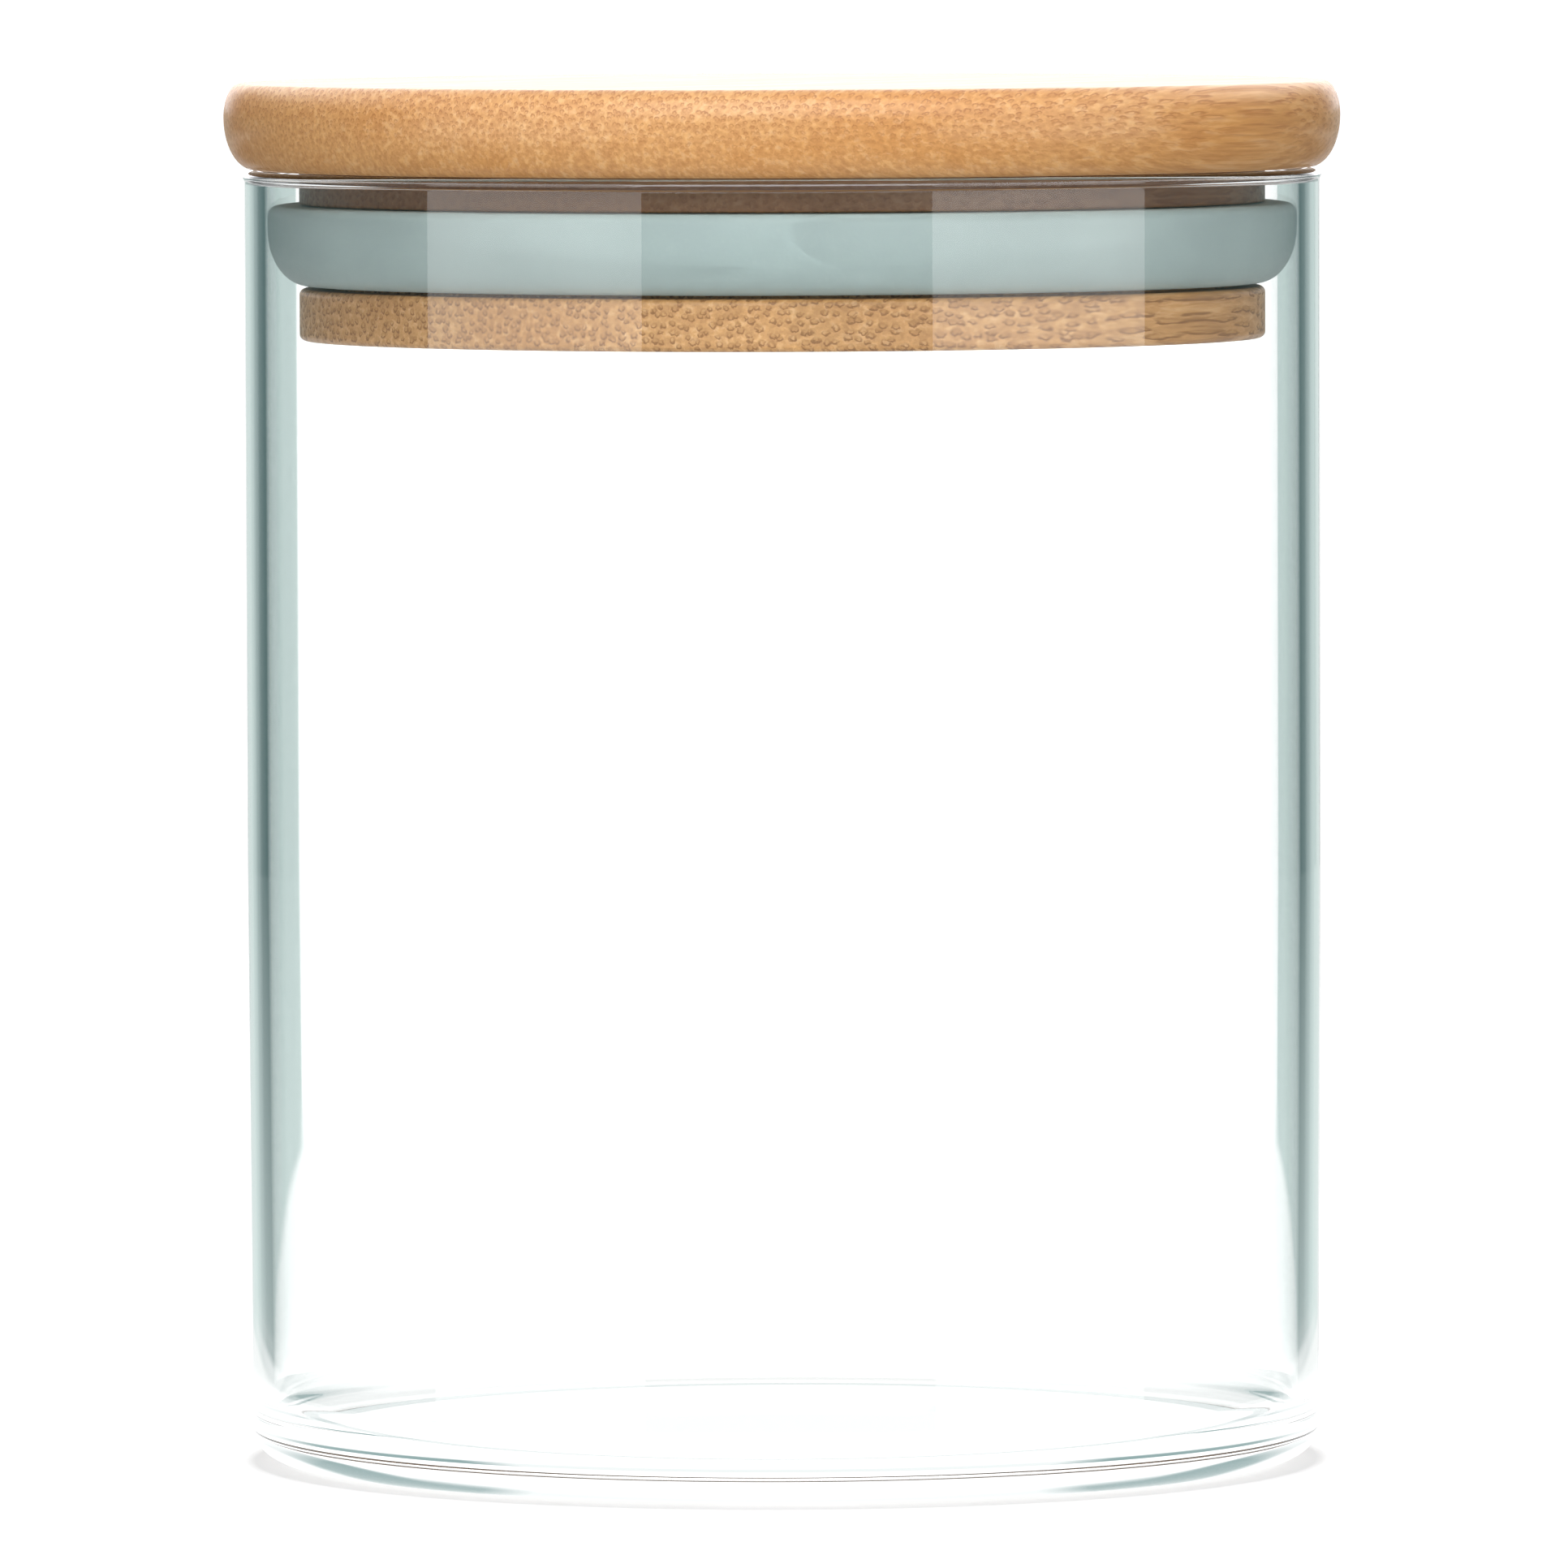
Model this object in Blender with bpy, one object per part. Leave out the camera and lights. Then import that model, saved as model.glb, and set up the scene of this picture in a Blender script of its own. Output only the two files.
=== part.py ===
"""Lidded glass canister: a straight glass jar and a bamboo lid with a plug.

A cap disc and a grooved plug disc are glued together to make the lid. A soft
ring sits in the plug's groove and presses on the inside of the jar's mouth.
Units are metres, +Z is up, and the origin is the centre of the jar's foot.
"""

from math import asin, cos, degrees, pi, radians, sin

import bmesh
import bpy

MM = 0.001

# Driving dimensions
OVERALL_HEIGHT = 128.1 * MM
JAR_HEIGHT = 120.0 * MM
JAR_OUTER_RADIUS = 50.0 * MM
WALL_THICKNESS = 1.9 * MM
CAP_RADIUS = 51.9 * MM
PLUG_RADIUS = 44.9 * MM

# Gaps between neighbouring pieces
SEAT_GAP = 0.3 * MM
GLUE_GAP = 0.3 * MM
SEAL_GAP = 0.3 * MM

# Jar: a thick floor with a shallow push-up, a rounded heel and a wall drawn in near the foot
FLOOR_HEIGHT = 2.7 * MM
FLOOR_FLAT_RADIUS = 44.2 * MM
INNER_HEEL_RISE = 3.6 * MM
FOOT_RADIUS = 49.7 * MM
HEEL_WIDTH = 3.4 * MM
HEEL_RISE = 2.9 * MM
REST_INNER_RADIUS = 41.0 * MM
PUSH_UP_RADIUS = 38.0 * MM
PUSH_UP_DEPTH = 0.4 * MM
DRAW_IN_HEIGHT = 55.0 * MM

# Jar mouth: the fire-polished rim is a bead a little thicker than the wall
BEAD_HALF_WIDTH = 1.15 * MM
BEAD_HALF_HEIGHT = 1.2 * MM

# Cap disc
CAP_TOP_ROUND = 1.6 * MM
CAP_WIDEST_BELOW_TOP = 3.2 * MM
CAP_UNDERSIDE_ROUND = 2.8 * MM

# Plug disc and its groove
GROOVE_RADIUS = 42.5 * MM
SEAL_TOP = 116.6 * MM
SEAL_HEIGHT = 7.2 * MM
PLUG_BOTTOM = 104.3 * MM
PLUG_CHAMFER = 0.5 * MM

# Seal: a rounded upper corner, a straight band, then a bowl that curves in
SEAL_OUTER_RADIUS = 47.6 * MM
SEAL_CORNER = 0.8 * MM
SEAL_BAND = 1.2 * MM
SEAL_BOTTOM_RADIUS = 44.2 * MM

# Facets
TURNS = 64
ARC_STEPS = 6
MERGE_DISTANCE = 1e-6
SHARP_ANGLE = radians(35)

# Name: (colour, roughness, metallic, transmission)
FINISHES = {
    "clear_glass": ((0.93, 0.97, 0.96), 0.03, 0.0, 1.0),
    "bamboo_edge": ((0.62, 0.38, 0.19), 0.55, 0.0, 0.0),
    "bamboo_plug": ((0.55, 0.34, 0.16), 0.60, 0.0, 0.0),
    "grey_silicone": ((0.55, 0.61, 0.60), 0.45, 0.0, 0.0),
}


def clear_scene():
    for thing in list(bpy.data.objects):
        bpy.data.objects.remove(thing, do_unlink=True)


def finish(name):
    """A Principled material with the named colour, roughness, metallic and transmission."""
    colour, roughness, metallic, transmission = FINISHES[name]
    material = bpy.data.materials.new(name)
    material.use_nodes = True
    shader = material.node_tree.nodes["Principled BSDF"]
    shader.inputs["Base Color"].default_value = (*colour, 1.0)
    shader.inputs["Roughness"].default_value = roughness
    shader.inputs["Metallic"].default_value = metallic
    shader.inputs["Transmission Weight"].default_value = transmission
    material.diffuse_color = (*colour, 1.0)
    return material


def arc(centre, radii, start, end, steps=ARC_STEPS):
    """Points (radius, height) along an elliptical arc, angles in degrees from outwards."""
    turns = [radians(start + (end - start) * i / steps) for i in range(steps + 1)]
    return [(centre[0] + radii[0] * cos(t), centre[1] + radii[1] * sin(t)) for t in turns]


def turned(name, outline, material, closed=False):
    """Spins an outline of (radius, height) points round Z into a solid of revolution.

    An open outline starts and ends on the axis, and a closed one makes a ring.
    """
    mesh = bmesh.new()
    points = [mesh.verts.new((radius, 0.0, height)) for radius, height in outline]
    pairs = list(zip(points, points[1:]))
    if closed:
        pairs.append((points[-1], points[0]))
    edges = [mesh.edges.new(pair) for pair in pairs]
    bmesh.ops.spin(
        mesh,
        geom=points + edges,
        cent=(0.0, 0.0, 0.0),
        axis=(0.0, 0.0, 1.0),
        angle=2 * pi,
        steps=TURNS,
    )
    bmesh.ops.remove_doubles(mesh, verts=mesh.verts, dist=MERGE_DISTANCE)
    bmesh.ops.recalc_face_normals(mesh, faces=mesh.faces)
    data = bpy.data.meshes.new(name)
    mesh.to_mesh(data)
    mesh.free()
    data.shade_smooth()
    data.set_sharp_from_angle(angle=SHARP_ANGLE)
    data.materials.append(material)
    piece = bpy.data.objects.new(name, data)
    bpy.context.scene.collection.objects.link(piece)
    return piece


def axis_empty(name, height, parent=None):
    """An empty on the canister's axis, which a moving piece hangs from."""
    empty = bpy.data.objects.new(name, None)
    bpy.context.scene.collection.objects.link(empty)
    empty.parent = parent
    empty.location.z = height - (parent.location.z if parent else 0.0)
    return empty


def jar_outline():
    """From the floor's centre up the inside, over the rim and down to the foot's centre."""
    inner_radius = JAR_OUTER_RADIUS - WALL_THICKNESS
    inner_foot_radius = FOOT_RADIUS - WALL_THICKNESS
    bead_radius = (JAR_OUTER_RADIUS + inner_radius) / 2
    bead_centre = (bead_radius, JAR_HEIGHT - BEAD_HALF_HEIGHT)
    meets_wall = WALL_THICKNESS / 2 / BEAD_HALF_WIDTH
    bead_turn = 90 - degrees(asin(meets_wall))
    bead = (BEAD_HALF_WIDTH, BEAD_HALF_HEIGHT)
    inner_heel = (inner_foot_radius - FLOOR_FLAT_RADIUS, INNER_HEEL_RISE)
    return [
        (0.0, FLOOR_HEIGHT),
        *arc((FLOOR_FLAT_RADIUS, FLOOR_HEIGHT + INNER_HEEL_RISE), inner_heel, -90, 0),
        (inner_radius, DRAW_IN_HEIGHT),
        *arc(bead_centre, bead, 180 + bead_turn, -bead_turn, 2 * ARC_STEPS),
        (JAR_OUTER_RADIUS, DRAW_IN_HEIGHT),
        *arc((FOOT_RADIUS - HEEL_WIDTH, HEEL_RISE), (HEEL_WIDTH, HEEL_RISE), 0, -90),
        (REST_INNER_RADIUS, 0.0),
        (PUSH_UP_RADIUS, PUSH_UP_DEPTH),
        (0.0, PUSH_UP_DEPTH),
    ]


def cap_outline():
    """The cap disc about its own underside: flat top, full rounded edge, flat underside."""
    thickness = OVERALL_HEIGHT - JAR_HEIGHT - SEAT_GAP
    widest = thickness - CAP_WIDEST_BELOW_TOP
    upper = (CAP_RADIUS - CAP_TOP_ROUND, widest)
    lower = (CAP_RADIUS - CAP_UNDERSIDE_ROUND, widest)
    return [
        (0.0, thickness),
        *arc(upper, (CAP_TOP_ROUND, CAP_WIDEST_BELOW_TOP), 90, 0),
        *arc(lower, (CAP_UNDERSIDE_ROUND, widest), 0, -90)[1:],
        (0.0, 0.0),
    ]


def plug_outline():
    """The plug disc about its own bottom: neck, groove for the seal, and lower disc."""
    height = JAR_HEIGHT + SEAT_GAP - GLUE_GAP - PLUG_BOTTOM
    groove_top = SEAL_TOP + SEAL_GAP - PLUG_BOTTOM
    groove_bottom = SEAL_TOP - SEAL_HEIGHT - SEAL_GAP - PLUG_BOTTOM
    edge = PLUG_RADIUS - PLUG_CHAMFER
    return [
        (0.0, height),
        (PLUG_RADIUS, height),
        (PLUG_RADIUS, groove_top),
        (GROOVE_RADIUS, groove_top),
        (GROOVE_RADIUS, groove_bottom),
        (edge, groove_bottom),
        (PLUG_RADIUS, groove_bottom - PLUG_CHAMFER),
        (PLUG_RADIUS, PLUG_CHAMFER),
        (edge, 0.0),
        (0.0, 0.0),
    ]


def seal_outline():
    """The ring's section about its own bottom, closed, its outer side running down."""
    inner_radius = GROOVE_RADIUS + SEAL_GAP
    bowl_height = SEAL_HEIGHT - SEAL_CORNER - SEAL_BAND
    bowl_width = SEAL_OUTER_RADIUS - SEAL_BOTTOM_RADIUS
    corner = (SEAL_OUTER_RADIUS - SEAL_CORNER, SEAL_HEIGHT - SEAL_CORNER)
    return [
        (inner_radius, SEAL_HEIGHT),
        *arc(corner, (SEAL_CORNER, SEAL_CORNER), 90, 0, ARC_STEPS // 2),
        *arc((SEAL_BOTTOM_RADIUS, bowl_height), (bowl_width, bowl_height), 0, -90),
        (inner_radius, 0.0),
    ]


def main():
    clear_scene()
    turned("glass_jar", jar_outline(), finish("clear_glass"))

    seal_slide = axis_empty("seal_slide", SEAL_TOP - SEAL_HEIGHT)
    seal = turned("silicone_seal", seal_outline(), finish("grey_silicone"), closed=True)
    seal.parent = seal_slide

    lid_turn = axis_empty("lid_turn", PLUG_BOTTOM, seal_slide)
    plug = turned("lid_plug", plug_outline(), finish("bamboo_plug"))
    plug.parent = lid_turn

    cap = turned("lid_cap", cap_outline(), finish("bamboo_edge"))
    cap.parent = lid_turn
    cap.location.z = JAR_HEIGHT + SEAT_GAP - PLUG_BOTTOM


main()
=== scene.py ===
"""The looks of the lidded glass canister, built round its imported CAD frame.

Four turned pieces replace the four CAD nodes, with finer arcs and almost the same sizes: a
clear jar, a grey silicone ring and the two bamboo discs of the lid. Units are metres,
+Z is up, and the origin is the centre of the jar's foot.
"""

from math import asin, cos, degrees, pi, radians, sin, tan

import bmesh
import bpy
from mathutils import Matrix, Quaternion, Vector

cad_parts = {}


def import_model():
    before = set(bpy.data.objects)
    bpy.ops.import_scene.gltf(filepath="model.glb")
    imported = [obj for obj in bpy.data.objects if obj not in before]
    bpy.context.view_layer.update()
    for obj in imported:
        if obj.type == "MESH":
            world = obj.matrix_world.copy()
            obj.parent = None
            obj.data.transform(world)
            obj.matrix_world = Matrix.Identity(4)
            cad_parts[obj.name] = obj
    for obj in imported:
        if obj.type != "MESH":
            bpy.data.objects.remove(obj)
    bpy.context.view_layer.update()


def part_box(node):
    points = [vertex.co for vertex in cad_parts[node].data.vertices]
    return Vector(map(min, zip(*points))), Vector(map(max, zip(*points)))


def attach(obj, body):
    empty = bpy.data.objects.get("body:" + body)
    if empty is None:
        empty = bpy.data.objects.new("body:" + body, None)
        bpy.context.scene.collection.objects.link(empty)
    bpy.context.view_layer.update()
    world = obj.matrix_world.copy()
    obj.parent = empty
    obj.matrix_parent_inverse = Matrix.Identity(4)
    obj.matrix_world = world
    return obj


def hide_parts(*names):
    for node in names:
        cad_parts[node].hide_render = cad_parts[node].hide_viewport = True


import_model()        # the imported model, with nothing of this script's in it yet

MM = 0.001

# Where the CAD puts each piece
JAR_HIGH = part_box("glass_jar")[1]
SEAL_LOW, SEAL_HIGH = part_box("silicone_seal")
PLUG_LOW, PLUG_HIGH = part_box("lid_plug")
CAP_LOW, CAP_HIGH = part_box("lid_cap")

# Jar
BEAD_PROUD = 0.2 * MM
WALL_THICKNESS = 1.9 * MM
WALL_RADIUS = JAR_HIGH.x - BEAD_PROUD
BORE_RADIUS = WALL_RADIUS - WALL_THICKNESS
BEAD_HALF_WIDTH = 1.1 * MM
BEAD_HALF_HEIGHT = 0.65 * MM
DRAW_IN = 0.3 * MM
DRAW_IN_HEIGHT = 55.0 * MM
FLOOR_HEIGHT = 2.7 * MM
FLOOR_FLAT_RADIUS = 44.2 * MM
INNER_HEEL_RISE = 3.6 * MM
HEEL_WIDTH = 3.4 * MM
HEEL_RISE = 2.9 * MM
REST_INNER_RADIUS = 41.0 * MM
PUSH_UP_RADIUS = 38.0 * MM
PUSH_UP_DEPTH = 0.4 * MM

# Cap disc, which comes closer to the jar's rim than its CAD solid
CAP_NEARER = 0.22 * MM
CAP_TOP_ROUND = 1.6 * MM
CAP_WIDEST_BELOW_TOP = 3.2 * MM
CAP_UNDERSIDE_ROUND = 2.8 * MM

# Plug disc
GROOVE_RADIUS = 42.5 * MM
GROOVE_GAP = 0.3 * MM
PLUG_EDGE_ROUND = 0.6 * MM
GROOVE_EDGE_ROUND = 0.25 * MM

# Seal: a little fuller than its CAD solid, and still clear of the glass and the groove
SEAL_RADIUS = SEAL_HIGH.x + 0.25 * MM
SEAL_TOP = SEAL_HIGH.z + 0.22 * MM
SEAL_CORNER = 0.9 * MM
SEAL_BAND = 1.2 * MM
SEAL_BOTTOM_RADIUS = 44.2 * MM

# Mesh fineness
TURNS = 256
ARC_STEPS = 14
HOLD = 0.25 * MM
MERGE_DISTANCE = 1e-7

# Bamboo: the fibres lie level and run this far round from the front-to-back direction
GRAIN_TURN = radians(33)

# Finish colours in linear light. A board's tones are its ground, its deeper ground and its bundles
GLASS_TINT = (0.985, 0.995, 0.992)
SILICONE_DEEP = (0.285, 0.360, 0.355)
SILICONE_PALE = (0.315, 0.395, 0.390)
SILICONE_DUST = (0.38, 0.45, 0.445)
# The plug's tones are darker than the cap's: painted shade, for the shade under the cap's overhang
PLUG_TONES = ((0.54, 0.295, 0.105), (0.48, 0.24, 0.070), (0.20, 0.080, 0.018))
CAP_TONES = ((0.67, 0.355, 0.118), (0.61, 0.280, 0.062), (0.32, 0.110, 0.018))
BAMBOO_PALE = (0.93, 0.74, 0.50)
# Dark brown laid over the plug's neck: painted shade, for the shadow under the cap's overhang
PAINTED_NECK_SHADE = (0.085, 0.026, 0.004)
FLOOR_SHADES = ((0.84, 0.84, 0.84), (0.88, 0.88, 0.88))

# Camera
CAMERA_PLACE = (0.0, -1.600, 0.1526)
CAMERA_PITCH = radians(3.217)
CAMERA_ROLL = radians(0.189)
CAMERA_LENS = 394.9
CAMERA_SENSOR = 36.0

# Floor, and the light that the glass shows under the jar
FLOOR_RADIUS = 40.0
FLOOR_DROP = 0.3 * MM
LIT_PATCH_RADIUS = 105 * MM
LIT_PATCH_DROP = 0.2 * MM
FOOT_LIGHT_INSET = 0.05 * MM
DISC_CORNERS = 64

# Soft rings round the jar's axis in mm: where the inner edge rises, then where the outer one falls
TEAL_RING = ((34.0, 39.0), (44.2, 42.8))
REST_RING = ((43.8, 44.4), (47.2, 46.6))
CONTACT_SHADOW = ((50.0, 51.0), (53.5, 52.0))
FLOOR_SHADE_FADE = (49.5, 53.5)
FLOOR_SHADE = 0.52

# Shades of the studio
WHITE = (1.0, 1.0, 1.0)
BLACK = (0.0, 0.0, 0.0)
BACKDROP_WHITE = (1.8, 1.8, 1.8)
BACKDROP_PALE = (0.98, 1.13, 1.10)
BACKDROP_GREY = (0.38, 0.48, 0.48)
BACKDROP_DARK = (0.11, 0.18, 0.18)
MIRRORED_WHITE = (0.93, 0.96, 0.955)
MIRRORED_PALE = (0.55, 0.67, 0.65)
MIRRORED_GREY = (0.30, 0.38, 0.38)
MIRRORED_DARK = (0.09, 0.15, 0.15)
FOOT_WHITE = (1.25, 1.25, 1.25)
FOOT_TEAL = (0.26, 0.39, 0.39)
HAZE = (0.85, 0.97, 0.95)
REAR_GLOW = (2.9, 2.9, 3.0)
CEILING = (4.0, 4.0, 4.0)
HALF_GREY = (0.5, 0.5, 0.5)
DIM = (0.15, 0.15, 0.15)
TABLE_NEAR = (0.7, 0.7, 0.7)
AMBIENT_ABOVE = (0.20, 0.20, 0.21)
AMBIENT_BELOW = (0.90, 0.89, 0.87)
STRIP_TINT = (1.0, 0.985, 0.98)

# The world, whose zones are shades at angles in degrees away from the rear
BACKDROP_TURN = radians(0.75)
BACKDROP_HALF_WIDTH = 9.45
THROUGH_GLASS = (
    (0.0, BACKDROP_PALE), (20.0, BACKDROP_PALE), (23.5, BACKDROP_GREY),
    (25.5, BACKDROP_DARK), (31.0, BACKDROP_DARK), (33.0, BACKDROP_PALE),
    (35.5, BACKDROP_PALE), (36.0, BACKDROP_WHITE), (45.0, BACKDROP_WHITE),
)
IN_REFLECTIONS = (
    (0.0, MIRRORED_PALE), (18.4, MIRRORED_PALE), (22.5, MIRRORED_GREY),
    (25.0, MIRRORED_DARK), (180.0, MIRRORED_DARK),
)
TABLE = (
    (0.0, WHITE), (12.0, WHITE), (18.0, DIM), (110.0, DIM),
    (150.0, TABLE_NEAR), (180.0, TABLE_NEAR),
)
TABLE_IN_GLASS = ((0.0, WHITE), (60.0, WHITE), (80.0, DIM), (180.0, DIM))
AMBIENT_ROUND = (
    (0.0, (0.85, 0.85, 0.85)), (50.0, (0.55, 0.55, 0.55)), (115.0, (0.55, 0.55, 0.55)),
    (150.0, (1.15, 1.15, 1.15)), (180.0, (1.15, 1.15, 1.15)),
)

# Half widths of the white in degrees, by how many degrees down the ray points
TABLE_EDGE_THROUGH_GLASS = (
    (4.50, BACKDROP_HALF_WIDTH), (4.9, 16.0), (5.1, 21.0), (5.35, 24.0), (5.50, 45.0),
)
TABLE_EDGE_IN_REFLECTIONS = ((5.05, BACKDROP_HALF_WIDTH), (5.35, 30.0), (5.50, 45.0))
LIGHT_BOUNCES = 24


# ---------------------------------------------------------------- meshes


def arc(centre, radii, start, end, steps=ARC_STEPS):
    """Points (radius, height) along an elliptical arc, angles in degrees from outwards."""
    turns = [radians(start + (end - start) * i / steps) for i in range(steps + 1)]
    return [(centre[0] + radii[0] * cos(t), centre[1] + radii[1] * sin(t)) for t in turns]


def held(points):
    """The outline with an extra point near each end of every long side, which keeps flats flat."""
    kept = [points[0]]
    for start, end in zip(points, points[1:]):
        first, last = Vector(start), Vector(end)
        side = last - first
        if side.length > 6 * HOLD:
            step = side.normalized() * HOLD
            kept.append(tuple(first + step))
            kept.append(tuple(last - step))
        kept.append(end)
    return kept


def turned(name, outline, material, closed=False):
    """Spins an outline of (radius, height) points round Z into one smooth closed piece."""
    mesh = bmesh.new()
    points = [mesh.verts.new((radius, 0.0, height)) for radius, height in held(outline)]
    pairs = list(zip(points, points[1:]))
    if closed:
        pairs.append((points[-1], points[0]))
    edges = [mesh.edges.new(pair) for pair in pairs]
    bmesh.ops.spin(
        mesh,
        geom=points + edges,
        cent=(0.0, 0.0, 0.0),
        axis=(0.0, 0.0, 1.0),
        angle=2 * pi,
        steps=TURNS,
    )
    bmesh.ops.remove_doubles(mesh, verts=mesh.verts, dist=MERGE_DISTANCE)
    bmesh.ops.recalc_face_normals(mesh, faces=mesh.faces)
    data = bpy.data.meshes.new(name)
    mesh.to_mesh(data)
    mesh.free()
    data.shade_smooth()
    data.materials.append(material)
    piece = bpy.data.objects.new(name, data)
    bpy.context.scene.collection.objects.link(piece)
    return piece


def jar_outline():
    """From the floor's centre up the inside, over the rim and down to the foot's centre."""
    foot_radius = WALL_RADIUS - DRAW_IN
    bore_foot_radius = BORE_RADIUS - DRAW_IN
    bead_radius = (WALL_RADIUS + BORE_RADIUS) / 2
    bead_centre = (bead_radius, JAR_HIGH.z - BEAD_HALF_HEIGHT)
    bead_turn = 90 - degrees(asin(WALL_THICKNESS / 2 / BEAD_HALF_WIDTH))
    bead = (BEAD_HALF_WIDTH, BEAD_HALF_HEIGHT)
    inner_heel = (bore_foot_radius - FLOOR_FLAT_RADIUS, INNER_HEEL_RISE)
    return [
        (0.0, FLOOR_HEIGHT),
        *arc((FLOOR_FLAT_RADIUS, FLOOR_HEIGHT + INNER_HEEL_RISE), inner_heel, -90, 0),
        (BORE_RADIUS, DRAW_IN_HEIGHT),
        *arc(bead_centre, bead, 180 + bead_turn, -bead_turn, 3 * ARC_STEPS),
        (WALL_RADIUS, DRAW_IN_HEIGHT),
        *arc((foot_radius - HEEL_WIDTH, HEEL_RISE), (HEEL_WIDTH, HEEL_RISE), 0, -90),
        (REST_INNER_RADIUS, 0.0),
        (PUSH_UP_RADIUS, PUSH_UP_DEPTH),
        (0.0, PUSH_UP_DEPTH),
    ]


def cap_outline():
    """Flat top, full rounded edge and flat underside."""
    radius = CAP_HIGH.x
    bottom = CAP_LOW.z - CAP_NEARER
    widest = CAP_HIGH.z - CAP_WIDEST_BELOW_TOP
    upper = (radius - CAP_TOP_ROUND, widest)
    lower = (radius - CAP_UNDERSIDE_ROUND, widest)
    return [
        (0.0, CAP_HIGH.z),
        *arc(upper, (CAP_TOP_ROUND, CAP_WIDEST_BELOW_TOP), 90, 0),
        *arc(lower, (CAP_UNDERSIDE_ROUND, widest - bottom), 0, -90)[1:],
        (0.0, bottom),
    ]


def rounded(corner, size, start, end):
    """A quarter arc that rounds an outline's corner, whose centre lies inwards of it."""
    sides = (1 if abs(start) < 90 or abs(end) < 90 else -1, 1 if start + end > 0 else -1)
    centre = (corner[0] - sides[0] * size, corner[1] - sides[1] * size)
    return arc(centre, (size, size), start, end, ARC_STEPS // 2)


def plug_outline():
    """Neck, groove for the seal and lower disc, with softened edges."""
    radius = PLUG_HIGH.x
    groove_top = SEAL_HIGH.z + GROOVE_GAP
    groove_bottom = SEAL_LOW.z - GROOVE_GAP
    return [
        (0.0, PLUG_HIGH.z),
        *rounded((radius, PLUG_HIGH.z), GROOVE_EDGE_ROUND, 90, 0),
        *rounded((radius, groove_top), GROOVE_EDGE_ROUND, 0, -90),
        (GROOVE_RADIUS, groove_top),
        (GROOVE_RADIUS, groove_bottom),
        *rounded((radius, groove_bottom), PLUG_EDGE_ROUND, 90, 0),
        *rounded((radius, PLUG_LOW.z), PLUG_EDGE_ROUND, 0, -90),
        (0.0, PLUG_LOW.z),
    ]


def seal_outline():
    """The ring's section, closed: rounded corner, straight band, then a bowl that curves in."""
    inner_radius = GROOVE_RADIUS + GROOVE_GAP
    bowl_top = SEAL_TOP - SEAL_CORNER - SEAL_BAND
    bowl = (SEAL_RADIUS - SEAL_BOTTOM_RADIUS, bowl_top - SEAL_LOW.z)
    corner = (SEAL_RADIUS - SEAL_CORNER, SEAL_TOP - SEAL_CORNER)
    return [
        (inner_radius, SEAL_TOP),
        *arc(corner, (SEAL_CORNER, SEAL_CORNER), 90, 0, ARC_STEPS // 2),
        *arc((SEAL_BOTTOM_RADIUS, bowl_top), bowl, 0, -90, 2 * ARC_STEPS),
        (inner_radius, SEAL_LOW.z),
    ]


# ---------------------------------------------------------------- node helpers


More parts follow.
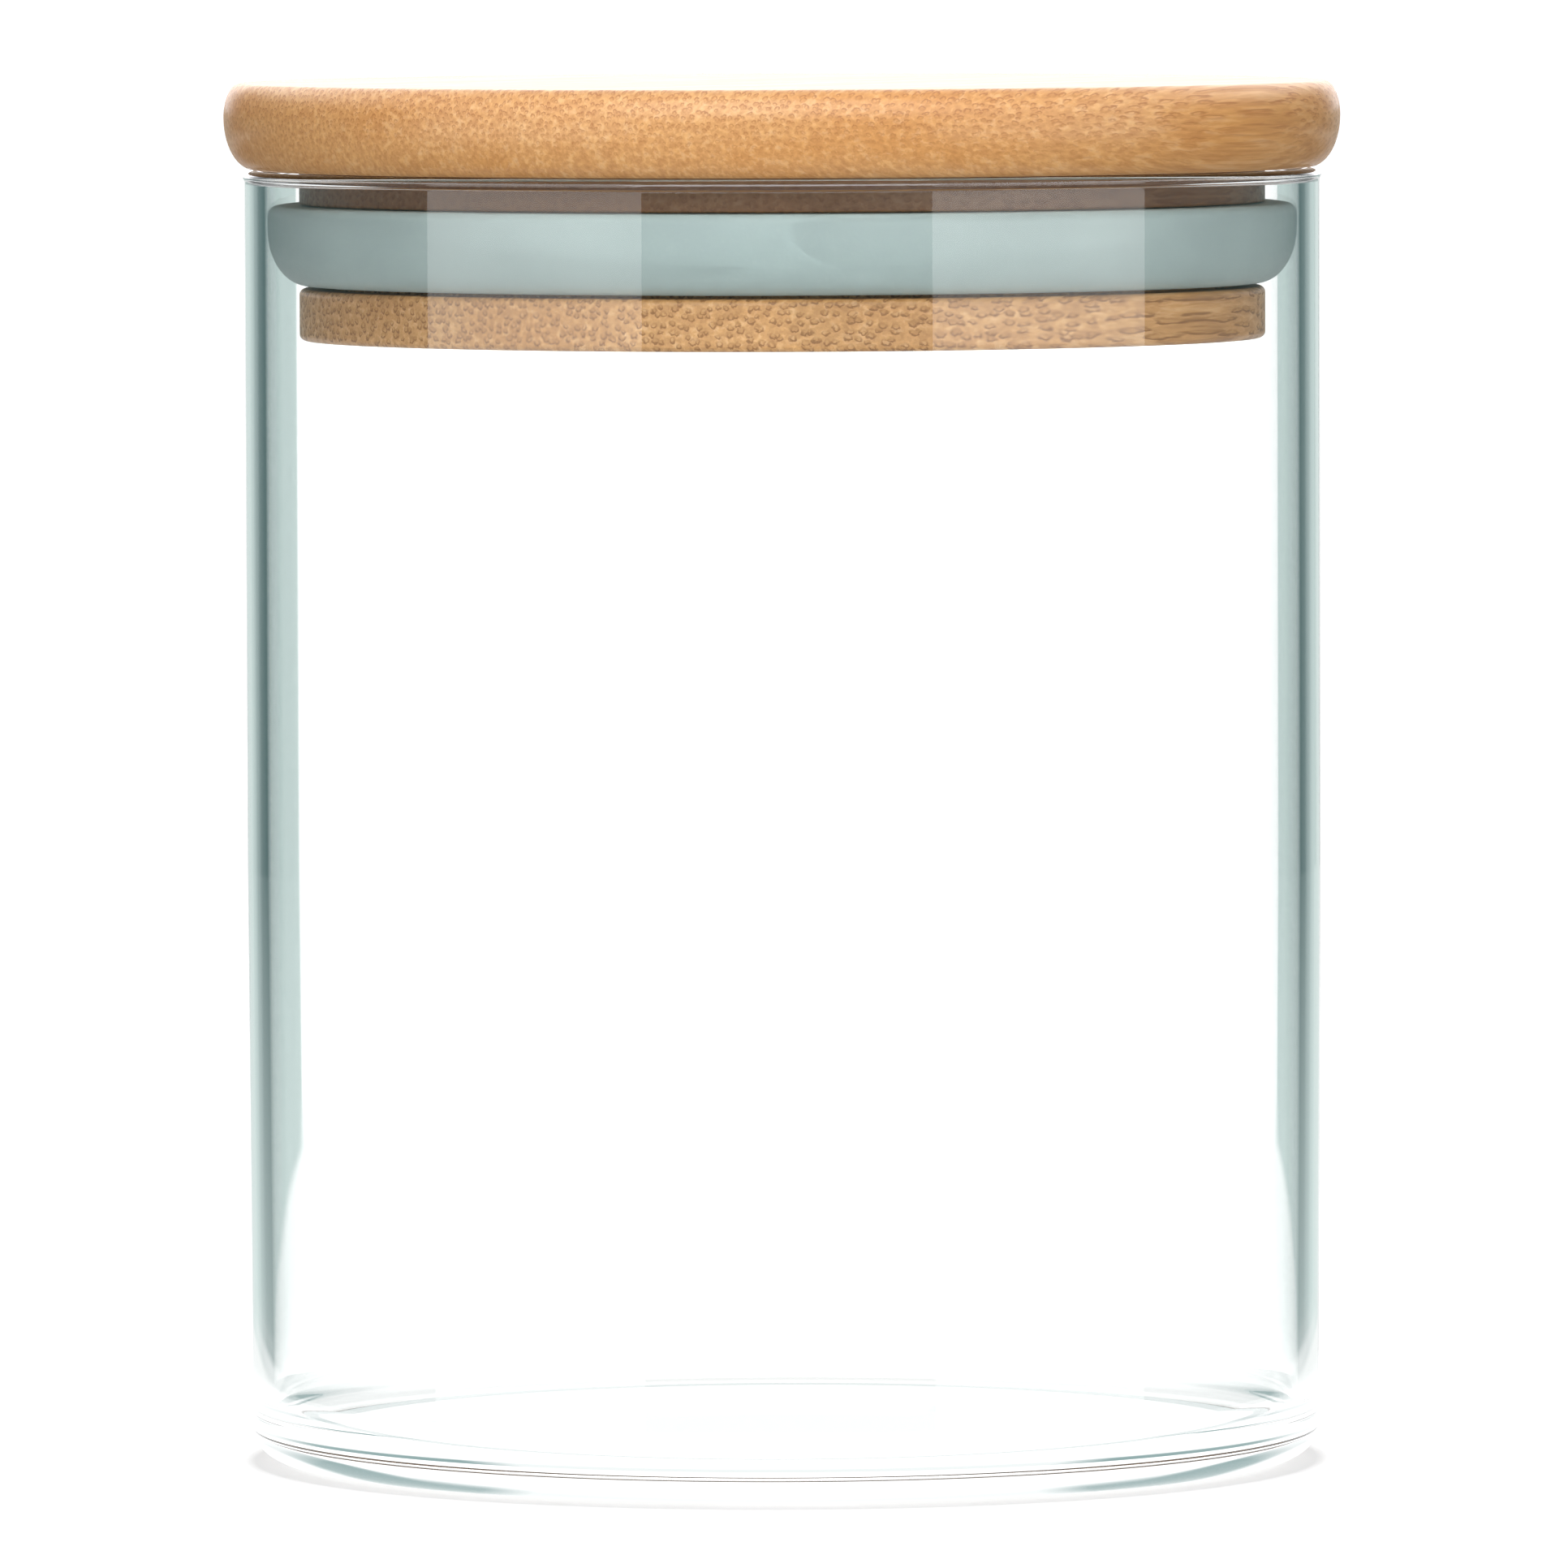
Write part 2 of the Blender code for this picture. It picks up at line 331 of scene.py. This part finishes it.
class Tree:
    """A node tree, with a short call for each kind of node that the finishes use."""

    def __init__(self, owner):
        owner.use_nodes = True
        self.nodes = owner.node_tree.nodes
        self.links = owner.node_tree.links

    def put(self, socket, value):
        if isinstance(value, bpy.types.NodeSocket):
            self.links.new(value, socket)
        elif value is not None:
            socket.default_value = value

    def node(self, kind, **settings):
        made = self.nodes.new(kind)
        for name, value in settings.items():
            setattr(made, name, value)
        return made

    def math(self, operation, first, second=None, third=None, clamp=False):
        made = self.node("ShaderNodeMath", operation=operation, use_clamp=clamp)
        for socket, value in zip(made.inputs, (first, second, third)):
            self.put(socket, value)
        return made.outputs[0]

    def between(self, value, low, high):
        """0 below low, 1 above high and a smooth step between them."""
        made = self.node("ShaderNodeMapRange", interpolation_type="SMOOTHSTEP")
        self.put(made.inputs["Value"], value)
        self.put(made.inputs["From Min"], low)
        self.put(made.inputs["From Max"], high)
        return made.outputs["Result"]

    def scaled(self, value, low, high, to_low, to_high):
        """The value carried from one range to another, kept inside it."""
        made = self.node("ShaderNodeMapRange", interpolation_type="LINEAR")
        self.put(made.inputs["Value"], value)
        self.put(made.inputs["From Min"], low)
        self.put(made.inputs["From Max"], high)
        self.put(made.inputs["To Min"], to_low)
        self.put(made.inputs["To Max"], to_high)
        return made.outputs["Result"]

    def mix(self, factor, first, second, blend="MIX"):
        made = self.node("ShaderNodeMix", data_type="RGBA", blend_type=blend)
        self.put(made.inputs[0], factor)
        self.put(made.inputs[6], colour(first))
        self.put(made.inputs[7], colour(second))
        return made.outputs[2]

    def vector(self, x, y, z):
        made = self.node("ShaderNodeCombineXYZ")
        for socket, value in zip(made.inputs, (x, y, z)):
            self.put(socket, value)
        return made.outputs[0]

    def parts(self, vector):
        made = self.node("ShaderNodeSeparateXYZ")
        self.put(made.inputs[0], vector)
        return made.outputs

    def noise(self, vector, scale=1.0, detail=2.0, roughness=0.5):
        made = self.node("ShaderNodeTexNoise", noise_dimensions="3D")
        self.put(made.inputs["Vector"], vector)
        self.put(made.inputs["Scale"], scale)
        self.put(made.inputs["Detail"], detail)
        self.put(made.inputs["Roughness"], roughness)
        return made.outputs[0]

    def ramp(self, value, stops):
        """Colours at rising places from 0 to 1, mixed evenly between them."""
        made = self.node("ShaderNodeValToRGB")
        made.color_ramp.interpolation = "LINEAR"
        elements = made.color_ramp.elements
        while len(elements) < len(stops):
            elements.new(1.0)
        for element, (place, shade) in zip(elements, stops):
            element.position = place
            element.color = colour(shade)
        self.put(made.inputs[0], value)
        return made.outputs[0]

    def after(self, kind):
        """1 for a ray that has bounced at least once this way: Glossy, Diffuse or Transmission."""
        depth = self.node("ShaderNodeLightPath").outputs[kind + " Depth"]
        return self.math("GREATER_THAN", depth, 0.5)

    def bump(self, height, strength, distance):
        made = self.node("ShaderNodeBump")
        self.put(made.inputs["Height"], height)
        self.put(made.inputs["Strength"], strength)
        self.put(made.inputs["Distance"], distance)
        return made.outputs[0]


def colour(shade):
    """A shade of three numbers with its alpha, or whatever else it is, unchanged."""
    if isinstance(shade, tuple) and len(shade) == 3:
        return (*shade, 1.0)
    return shade


def principled(name, numbers):
    """A new material's tree and shader, with plain numbers on the shader's own sockets."""
    material = bpy.data.materials.new(name)
    tree = Tree(material)
    shader = tree.nodes["Principled BSDF"]
    for socket, value in numbers.items():
        shader.inputs[socket].default_value = colour(value)
    return material, tree, shader


def object_place(tree):
    return tree.node("ShaderNodeTexCoord").outputs["Object"]


# ---------------------------------------------------------------- finishes


def clear_glass():
    """Colourless borosilicate, with faint wipe marks and a very slight waviness."""
    material, tree, shader = principled(
        "clear_glass_finish",
        {"Transmission Weight": 1.0, "IOR": 1.47, "Base Color": GLASS_TINT},
    )
    place = object_place(tree)
    smears = tree.noise(place, 60.0, 4.0, 0.6)
    roughness = tree.scaled(smears, 0.45, 0.75, 0.0, 0.02)
    waves = tree.noise(place, 18.0, 1.0, 0.4)
    tree.put(shader.inputs["Roughness"], roughness)
    tree.put(shader.inputs["Normal"], tree.bump(waves, 0.02, 0.0004))
    return material


def grey_silicone():
    """Matte grey moulded silicone, slightly cloudy, with a fine moulded skin."""
    material, tree, shader = principled(
        "grey_silicone_finish",
        {"Specular IOR Level": 0.35},
    )
    place = object_place(tree)
    cloud = tree.noise(place, 90.0, 3.0, 0.55)
    grain = tree.noise(place, 2600.0, 2.0, 0.6)
    body = tree.mix(tree.between(cloud, 0.3, 0.7), SILICONE_DEEP, SILICONE_PALE)
    dusted = tree.mix(tree.scaled(grain, 0.55, 0.75, 0.0, 0.25), body, SILICONE_DUST)
    tree.put(shader.inputs["Base Color"], dusted)
    tree.put(shader.inputs["Roughness"], tree.scaled(grain, 0.3, 0.7, 0.42, 0.58))
    tree.put(shader.inputs["Normal"], tree.bump(grain, 0.12, 0.00008))
    return material


def bamboo(name, heights, cell, contrast, sparse_depth, streaks, painted_shade_height, tones):
    """Solid bamboo board: fibre bundles that show as dots on end grain and as streaks along it.

    Bundles crowd together at the first height, where the culm's skin was, and fade
    towards the second to sparse_depth of their contrast. A cell is the room that one
    bundle takes, and streaks is the strength of the fine fibres between them. Above
    the shade height the board is darkened with painted shade, which stands for the
    shadow that the cap's overhang casts on the plug's neck.
    """
    dense_height, sparse_height = heights
    skin_side = 1.0 if dense_height > sparse_height else -1.0
    material, tree, shader = principled(
        name,
        {"IOR": 1.5, "Coat Weight": 0.3, "Coat Roughness": 0.2, "Coat IOR": 1.45},
    )
    grain = grain_place(tree)
    height = grain[2]
    bent = bent_grain(tree, grain, cell)
    crowding = tree.scaled(height, sparse_height, dense_height, 0.0, 1.0)
    body, sheath = bundles(tree, bent, cell, crowding, skin_side)
    mottle = stretched_noise(tree, bent, (1600, 110, 1600), 3.0)
    fibre = stretched_noise(tree, bent, (2800, 70, 2800), 3.0)

    plain = board_ground(tree, grain, mottle, fibre, streaks, tones)
    depth = tree.math("MULTIPLY", tree.scaled(crowding, 0.15, 0.75, sparse_depth, 1.0), contrast)
    final = tree.mix(tree.math("MULTIPLY", sheath, depth), plain, tones[2])
    # Painted shade: above the shade height the board goes dark, for the cap's shadow on the neck
    painted_shade_mask = tree.math("MULTIPLY", tree.between(height, painted_shade_height, painted_shade_height + MM), 0.75)
    tree.put(shader.inputs["Base Color"], tree.mix(painted_shade_mask, final, PAINTED_NECK_SHADE))

    uneven = tree.math("ADD", tree.math("MULTIPLY", body, 0.4), fibre)
    tree.put(shader.inputs["Roughness"], tree.scaled(uneven, 0.2, 1.2, 0.45, 0.7))
    relief = tree.math("ADD", tree.math("MULTIPLY", sheath, -0.25), tree.math("MULTIPLY", mottle, 0.5))
    tree.put(shader.inputs["Normal"], tree.bump(relief, 0.15, 0.00005))
    return material


def grain_place(tree):
    """The place across the fibres, along them and up."""
    turn = tree.node("ShaderNodeMapping", vector_type="POINT")
    turn.inputs["Rotation"].default_value = (0.0, 0.0, GRAIN_TURN)
    tree.put(turn.inputs["Vector"], object_place(tree))
    return tuple(tree.parts(turn.outputs[0]))


def bent_grain(tree, grain, cell):
    """The grain's place, with bundles that wander along their length and aren't quite round."""
    across, along, height = grain
    uneven_across = stretched_noise(tree, (across, along, height), (2400, 100, 2400), 2.0)
    uneven_height = stretched_noise(tree, (height, along, across), (2400, 100, 2400), 2.0)
    across_bent = shifted(tree, wander(tree, across, across, along, 0.0), uneven_across, 0.7 * cell)
    height_bent = shifted(tree, wander(tree, height, across, along, 4.0), uneven_height, 0.7 * cell)
    return across_bent, along, height_bent


def bundles(tree, bent, cell, crowding, skin_side):
    """Each bundle's whole body, and its dark sheath, which is thickest on the skin's side."""
    across, height = bent[0], bent[2]
    section = tree.vector(
        tree.math("DIVIDE", across, cell), tree.math("DIVIDE", height, cell), 0.0
    )
    cells = tree.node("ShaderNodeTexVoronoi", voronoi_dimensions="2D", feature="F1")
    tree.put(cells.inputs["Vector"], section)
    tree.put(cells.inputs["Scale"], 1.0)
    tree.put(cells.inputs["Randomness"], 0.9)
    chance = tree.parts(cells.outputs["Color"])[0]
    offset = tree.math("SUBTRACT", tree.parts(section)[1], tree.parts(cells.outputs["Position"])[1])
    arch = tree.scaled(tree.math("MULTIPLY", offset, skin_side), -0.2, 0.15, 0.35, 1.0)

    size = tree.math("ADD", tree.math("MULTIPLY", crowding, 0.10), 0.26)
    size = tree.math("MULTIPLY", size, tree.scaled(chance, 0.0, 1.0, 0.8, 1.2))
    outside = tree.math("SUBTRACT", cells.outputs["Distance"], size)
    body = tree.math("SUBTRACT", 1.0, tree.between(outside, -0.06, 0.10))
    hollow = tree.math("SUBTRACT", 1.0, tree.between(outside, -0.24, -0.12))
    wall = tree.math("SUBTRACT", body, tree.math("MULTIPLY", hollow, 0.75))
    return body, tree.math("MULTIPLY", wall, arch)


def board_ground(tree, grain, mottle, fibre, streaks, tones):
    """The colour between the bundles: broad patches, mottling and fine fibres."""
    ground, deep, bundle = tones
    broad = stretched_noise(tree, grain, (70, 30, 120), 3.0)
    plain = tree.mix(tree.between(broad, 0.3, 0.72), ground, deep)
    plain = tree.mix(tree.scaled(mottle, 0.42, 0.72, 0.0, 0.40), plain, bundle)
    streak = tree.math("MULTIPLY", tree.scaled(fibre, 0.40, 0.72, 0.0, 0.45), streaks)
    plain = tree.mix(streak, plain, bundle)
    pale = tree.mix(0.5, ground, BAMBOO_PALE)
    return tree.mix(tree.scaled(mottle, 0.48, 0.25, 0.0, 0.35), plain, pale)


def wander(tree, value, across, along, seed):
    """The value, drifting by up to half a millimetre as it runs along the grain."""
    route = tree.vector(
        tree.math("MULTIPLY", across, 60), tree.math("MULTIPLY", along, 25), seed
    )
    drift = tree.math("SUBTRACT", tree.noise(route, 1.0, 2.0), 0.5)
    return tree.math("ADD", value, tree.math("MULTIPLY", drift, 0.0010))


def shifted(tree, value, noise, amount):
    """The value, moved by up to half of the amount either way."""
    return tree.math("ADD", value, tree.math("MULTIPLY", tree.math("SUBTRACT", noise, 0.5), amount))


def stretched_noise(tree, place, scales, detail):
    """Noise with its own scale along each of the three directions."""
    parts = [tree.math("MULTIPLY", value, scale) for value, scale in zip(place, scales)]
    return tree.noise(tree.vector(*parts), 1.0, detail, 0.6)


# ---------------------------------------------------------------- studio


def camera():
    """The view from a little above the lid, level with it and far off."""
    data = bpy.data.cameras.new("camera")
    data.sensor_width = CAMERA_SENSOR
    data.lens = CAMERA_LENS
    data.clip_start = 0.05
    data.clip_end = 200.0
    data.dof.use_dof = False
    view = bpy.data.objects.new("camera", data)
    bpy.context.scene.collection.objects.link(view)
    view.location = CAMERA_PLACE
    ahead = Vector((0.0, cos(CAMERA_PITCH), -sin(CAMERA_PITCH)))
    upright = ahead.to_track_quat("-Z", "Y")
    view.rotation_mode = "QUATERNION"
    view.rotation_quaternion = Quaternion(ahead, CAMERA_ROLL) @ upright
    bpy.context.scene.camera = view


def hide_from(thing, *kinds):
    """Hides the thing from these kinds of ray."""
    for kind in kinds:
        setattr(thing, "visible_" + kind, False)


def flat_disc(name, radius, height, material):
    """A level stage disc."""
    mesh = bmesh.new()
    bmesh.ops.create_circle(mesh, cap_ends=True, segments=DISC_CORNERS, radius=radius)
    data = bpy.data.meshes.new(name)
    mesh.to_mesh(data)
    mesh.free()
    data.materials.append(material)
    disc = bpy.data.objects.new(name, data)
    disc.location.z = height
    bpy.context.scene.collection.objects.link(disc)
    return disc


def bright_floor_finish():
    """A pale floor under enough light to read as white, a little shaded round the foot."""
    material, tree, shader = principled(
        "pale_floor",
        {"Roughness": 0.9, "Specular IOR Level": 0.0, "Emission Strength": 1.0},
    )
    shade = tree.scaled(radius_in_mm(tree), *FLOOR_SHADE_FADE, FLOOR_SHADE, 0.0)
    grain = tree.noise(object_place(tree), 40.0, 2.0)
    base = tree.mix(grain, *FLOOR_SHADES)
    tree.put(shader.inputs["Base Color"], tree.mix(shade, base, BLACK))
    tree.put(shader.inputs["Emission Color"], tree.mix(shade, WHITE, BLACK))
    return material


def radius_in_mm(tree):
    """How far the place is from the jar's axis."""
    x, y = tree.parts(object_place(tree))[:2]
    squared = tree.math("ADD", tree.math("MULTIPLY", x, x), tree.math("MULTIPLY", y, y))
    return tree.math("DIVIDE", tree.math("SQRT", squared), MM)


def soft_ring(tree, radius, edges):
    """1 in the middle of a ring and 0 outside it, with soft edges."""
    inner, outer = edges
    return tree.math("MULTIPLY", tree.between(radius, *inner), tree.between(radius, *outer))


def teal_sides(tree):
    """The teal ring's strength, which fades towards the front, the back and the far sides."""
    x, y = tree.parts(object_place(tree))[:2]
    turn = tree.math("ARCTAN2", tree.math("ABSOLUTE", x), tree.math("ABSOLUTE", y))
    turn = tree.math("DEGREES", turn)
    towards_sides = tree.scaled(turn, 34.0, 42.0, 0.35, 1.0)
    at_sides = tree.scaled(turn, 70.0, 82.0, 1.0, 0.4)
    return tree.math("MULTIPLY", towards_sides, at_sides)


def foot_light():
    """White light under the jar, with rings that draw the foot in the clear glass.

    They are the soft shadow round the foot, a teal ring that only bounced rays show, and
    a fainter one where the foot rests, which only the other rays show.
    """
    material = bpy.data.materials.new("foot_light")
    tree = Tree(material)
    tree.nodes.clear()
    radius = radius_in_mm(tree)
    bounced = tree.after("Glossy")
    shadow = tree.math("MULTIPLY", soft_ring(tree, radius, CONTACT_SHADOW), 0.3)
    teal = tree.math("MULTIPLY", soft_ring(tree, radius, TEAL_RING), bounced)
    teal = tree.math("MULTIPLY", teal, teal_sides(tree))
    rest = tree.math("MULTIPLY", soft_ring(tree, radius, REST_RING), tree.math("SUBTRACT", 1.0, bounced))
    shade = tree.mix(shadow, FOOT_WHITE, HALF_GREY)
    shade = tree.mix(teal, shade, FOOT_TEAL)
    shade = tree.mix(tree.math("MULTIPLY", rest, 0.6), shade, FOOT_TEAL)
    light = tree.node("ShaderNodeEmission")
    tree.put(light.inputs["Color"], tree.mix(tree.after("Diffuse"), shade, AMBIENT_BELOW))
    out = tree.node("ShaderNodeOutputMaterial")
    tree.put(out.inputs["Surface"], light.outputs[0])
    return material


def floor():
    """The floor that the camera sees, and the lit patch and sheet that the glass shows instead."""
    ground = flat_disc("floor", FLOOR_RADIUS, -FLOOR_DROP, bright_floor_finish())
    hide_from(ground, "transmission", "glossy", "diffuse", "shadow")
    light = foot_light()
    patch = flat_disc("floor_through_glass", LIT_PATCH_RADIUS, -LIT_PATCH_DROP, light)
    hide_from(patch, "camera", "diffuse", "shadow")
    under_foot = turned("light_under_foot", foot_light_outline(), light)
    hide_from(under_foot, "camera", "diffuse", "shadow")


def foot_light_outline():
    """A sheet of light just inside the jar's underside, where its foot meets the floor."""
    return [
        (0.0, PUSH_UP_DEPTH + FOOT_LIGHT_INSET),
        (PUSH_UP_RADIUS, PUSH_UP_DEPTH + FOOT_LIGHT_INSET),
        (REST_INNER_RADIUS, FOOT_LIGHT_INSET),
        (WALL_RADIUS - DRAW_IN - HEEL_WIDTH + 0.5 * MM, FOOT_LIGHT_INSET),
    ]


def softbox(name, azimuth, elevation, distance, size, radiance, tint=WHITE):
    """A rectangular light aimed at the jar. Azimuth is degrees right of the viewer's side."""
    data = bpy.data.lights.new(name, "AREA")
    data.shape = "RECTANGLE"
    data.size = size[0]
    data.size_y = size[1]
    data.energy = radiance * pi * size[0] * size[1]
    data.color = tint
    light = bpy.data.objects.new(name, data)
    bpy.context.scene.collection.objects.link(light)
    turn, rise = radians(azimuth), radians(elevation)
    out = Vector((sin(turn) * cos(rise), -cos(turn) * cos(rise), sin(rise)))
    light.location = Vector((0.0, 0.0, 0.10)) + out * distance
    light.rotation_mode = "QUATERNION"
    light.rotation_quaternion = out.to_track_quat("Z", "Y")
    return light


def lights():
    """A wide key above the camera, and two strips that only the reflections show."""
    softbox("key", azimuth=0.0, elevation=32.0, distance=2.0, size=(2.4, 1.4), radiance=4.1)
    distance = 1.3
    for name, inner, outer in (("strip_left", -29.3, -80.2), ("strip_right", 31.3, 82.3)):
        width = 2 * distance * tan(radians(abs(outer - inner) / 2))
        middle = (inner + outer) / 2
        strip = softbox(name, middle, 4.0, distance, (width, 1.0), 2.4, STRIP_TINT)
        hide_from(strip, "diffuse", "transmission", "camera")


def world():
    """A white table in front of a white backdrop, in a dim room.

    The backdrop's pale and dark sides draw the edges of the clear glass. Rays through
    the glass find one behind each side of the object, and reflections only the rear one.
    The camera itself sees plain white, and matte surfaces are lit by the room.
    """
    made = bpy.data.worlds.new("studio")
    bpy.context.scene.world = made
    tree = Tree(made)
    tree.nodes.clear()
    x, y, z = tree.parts(tree.node("ShaderNodeTexCoord").outputs["Generated"])
    azimuth = tree.math("SUBTRACT", tree.math("ARCTAN2", x, y), BACKDROP_TURN)
    turn = tree.math("DEGREES", tree.math("ABSOLUTE", azimuth))
    down = tree.math("MULTIPLY", tree.math("DEGREES", tree.math("ARCSINE", z)), -1.0)
    upward = tree.between(z, 0.0, 0.01)

    mirrored = in_reflections(tree, turn, z, down, upward)
    room = tree.mix(upward, AMBIENT_BELOW, AMBIENT_ABOVE)
    room = tree.mix(1.0, room, zoned(tree, turn, 180, AMBIENT_ROUND), "MULTIPLY")
    path = tree.node("ShaderNodeLightPath").outputs
    shade = tree.mix(path["Is Glossy Ray"], room, mirrored)
    shade = tree.mix(path["Is Transmission Ray"], shade, through_glass(tree, turn, down, upward))
    shade = tree.mix(tree.after("Glossy"), shade, mirrored)
    shade = tree.mix(path["Is Camera Ray"], shade, WHITE)
    shade = tree.mix(tree.after("Diffuse"), shade, room)
    background = tree.node("ShaderNodeBackground")
    tree.put(background.inputs["Color"], shade)
    out = tree.node("ShaderNodeOutputWorld")
    tree.put(out.inputs["Surface"], background.outputs[0])


def through_glass(tree, turn, down, upward):
    """What rays straight through the glass find: the backdrop, paler above the horizon."""
    quarter = tree.math("PINGPONG", turn, 45.0)
    sides = zoned(tree, quarter, 45, THROUGH_GLASS)
    behind = backdrop(tree, quarter, down, sides, TABLE_EDGE_THROUGH_GLASS, BACKDROP_WHITE)
    return tree.mix(tree.math("MULTIPLY", upward, 0.8), behind, BACKDROP_WHITE)


def in_reflections(tree, turn, z, down, upward):
    """What reflected rays find: the backdrop, with the table below it and the ceiling above."""
    sides = zoned(tree, turn, 180, IN_REFLECTIONS)
    mirrored = backdrop(tree, turn, down, sides, TABLE_EDGE_IN_REFLECTIONS, MIRRORED_WHITE)

    # A reflection seen through glass has a white table and ceiling instead
    through = tree.after("Transmission")
    in_glass = zoned(tree, turn, 180, TABLE_IN_GLASS)
    table = tree.mix(through, zoned(tree, turn, 180, TABLE), in_glass)
    glow = tree.math("MULTIPLY", inside(tree, turn, 20.0, 8.0), tree.between(z, 0.35, 0.2))
    ceiling = tree.mix(tree.between(z, 0.2, 0.5), DIM, CEILING)
    ceiling = tree.mix(glow, ceiling, REAR_GLOW)
    ceiling = tree.mix(through, ceiling, in_glass)
    mirrored = tree.mix(tree.between(down, 6.0, 9.0), mirrored, table)
    return tree.mix(upward, mirrored, ceiling)


def backdrop(tree, angle, down, sides, edge, white):
    """A white middle between coloured sides. Low down it widens, and haze pales the sides."""
    haze = tree.scaled(down, 3.5, 5.2, 0.0, 0.32)
    softness = tree.scaled(down, 4.3, 5.0, 0.15, 2.0)
    middle = inside(tree, angle, table_edge(tree, down, edge), softness)
    return tree.mix(middle, tree.mix(haze, sides, HAZE), white)


def table_edge(tree, down, widths):
    """The white's half width in degrees, for a ray that points down by so many degrees."""
    stops = [(place / 10, (width / 45,) * 3) for place, width in widths]
    return tree.math("MULTIPLY", tree.ramp(tree.math("DIVIDE", down, 10.0), stops), 45.0)


def zoned(tree, angle, span, zones):
    """The zones' shades along an angle from 0 to span degrees."""
    stops = [(place / span, shade) for place, shade in zones]
    return tree.ramp(tree.math("DIVIDE", angle, span), stops)


def inside(tree, angle, edge, softness):
    """1 where the angle is within the edge, with a soft step there."""
    past = tree.math("SUBTRACT", angle, edge)
    return tree.math("SUBTRACT", 1.0, tree.between(tree.math("DIVIDE", past, softness), -1.0, 1.0))


# ---------------------------------------------------------------- assembly


def place(piece, body, node, slot):
    """The piece rides on its body and stands for its CAD node. The slot is not used."""
    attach(piece, body)
    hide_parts(node)
    return piece


def canister():
    jar = turned("jar_glass", jar_outline(), clear_glass())
    hide_from(jar, "shadow")
    place(jar, "jar", "glass_jar", "clear_glass")

    seal = turned("seal_ring", seal_outline(), grey_silicone(), closed=True)
    place(seal, "seal", "silicone_seal", "grey_silicone")

    plug_finish = bamboo(
        "bamboo_plug_finish",
        heights=(PLUG_LOW.z, PLUG_HIGH.z),
        cell=0.80 * MM,
        contrast=0.9,
        sparse_depth=0.6,
        streaks=0.7,
        # The plug's neck, above the seal, gets the painted shade
        painted_shade_height=SEAL_HIGH.z - 0.5 * MM,
        tones=PLUG_TONES,
    )
    place(turned("plug_board", plug_outline(), plug_finish), "lid", "lid_plug", "bamboo_plug")

    cap_finish = bamboo(
        "bamboo_cap_finish",
        heights=(CAP_HIGH.z, CAP_LOW.z),
        cell=0.56 * MM,
        contrast=0.85,
        sparse_depth=0.2,
        streaks=1.0,
        painted_shade_height=CAP_HIGH.z,
        tones=CAP_TONES,
    )
    place(turned("cap_board", cap_outline(), cap_finish), "lid", "lid_cap", "bamboo_edge")


def colour_and_light_paths():
    """Plain display colours, and room for light that bounces often inside the jar's foot."""
    bpy.context.scene.view_settings.view_transform = "Standard"
    bpy.context.scene.cycles.max_bounces = LIGHT_BOUNCES
    bpy.context.scene.cycles.glossy_bounces = LIGHT_BOUNCES
    bpy.context.scene.cycles.transmission_bounces = LIGHT_BOUNCES


colour_and_light_paths()
camera()
world()
lights()
floor()
canister()
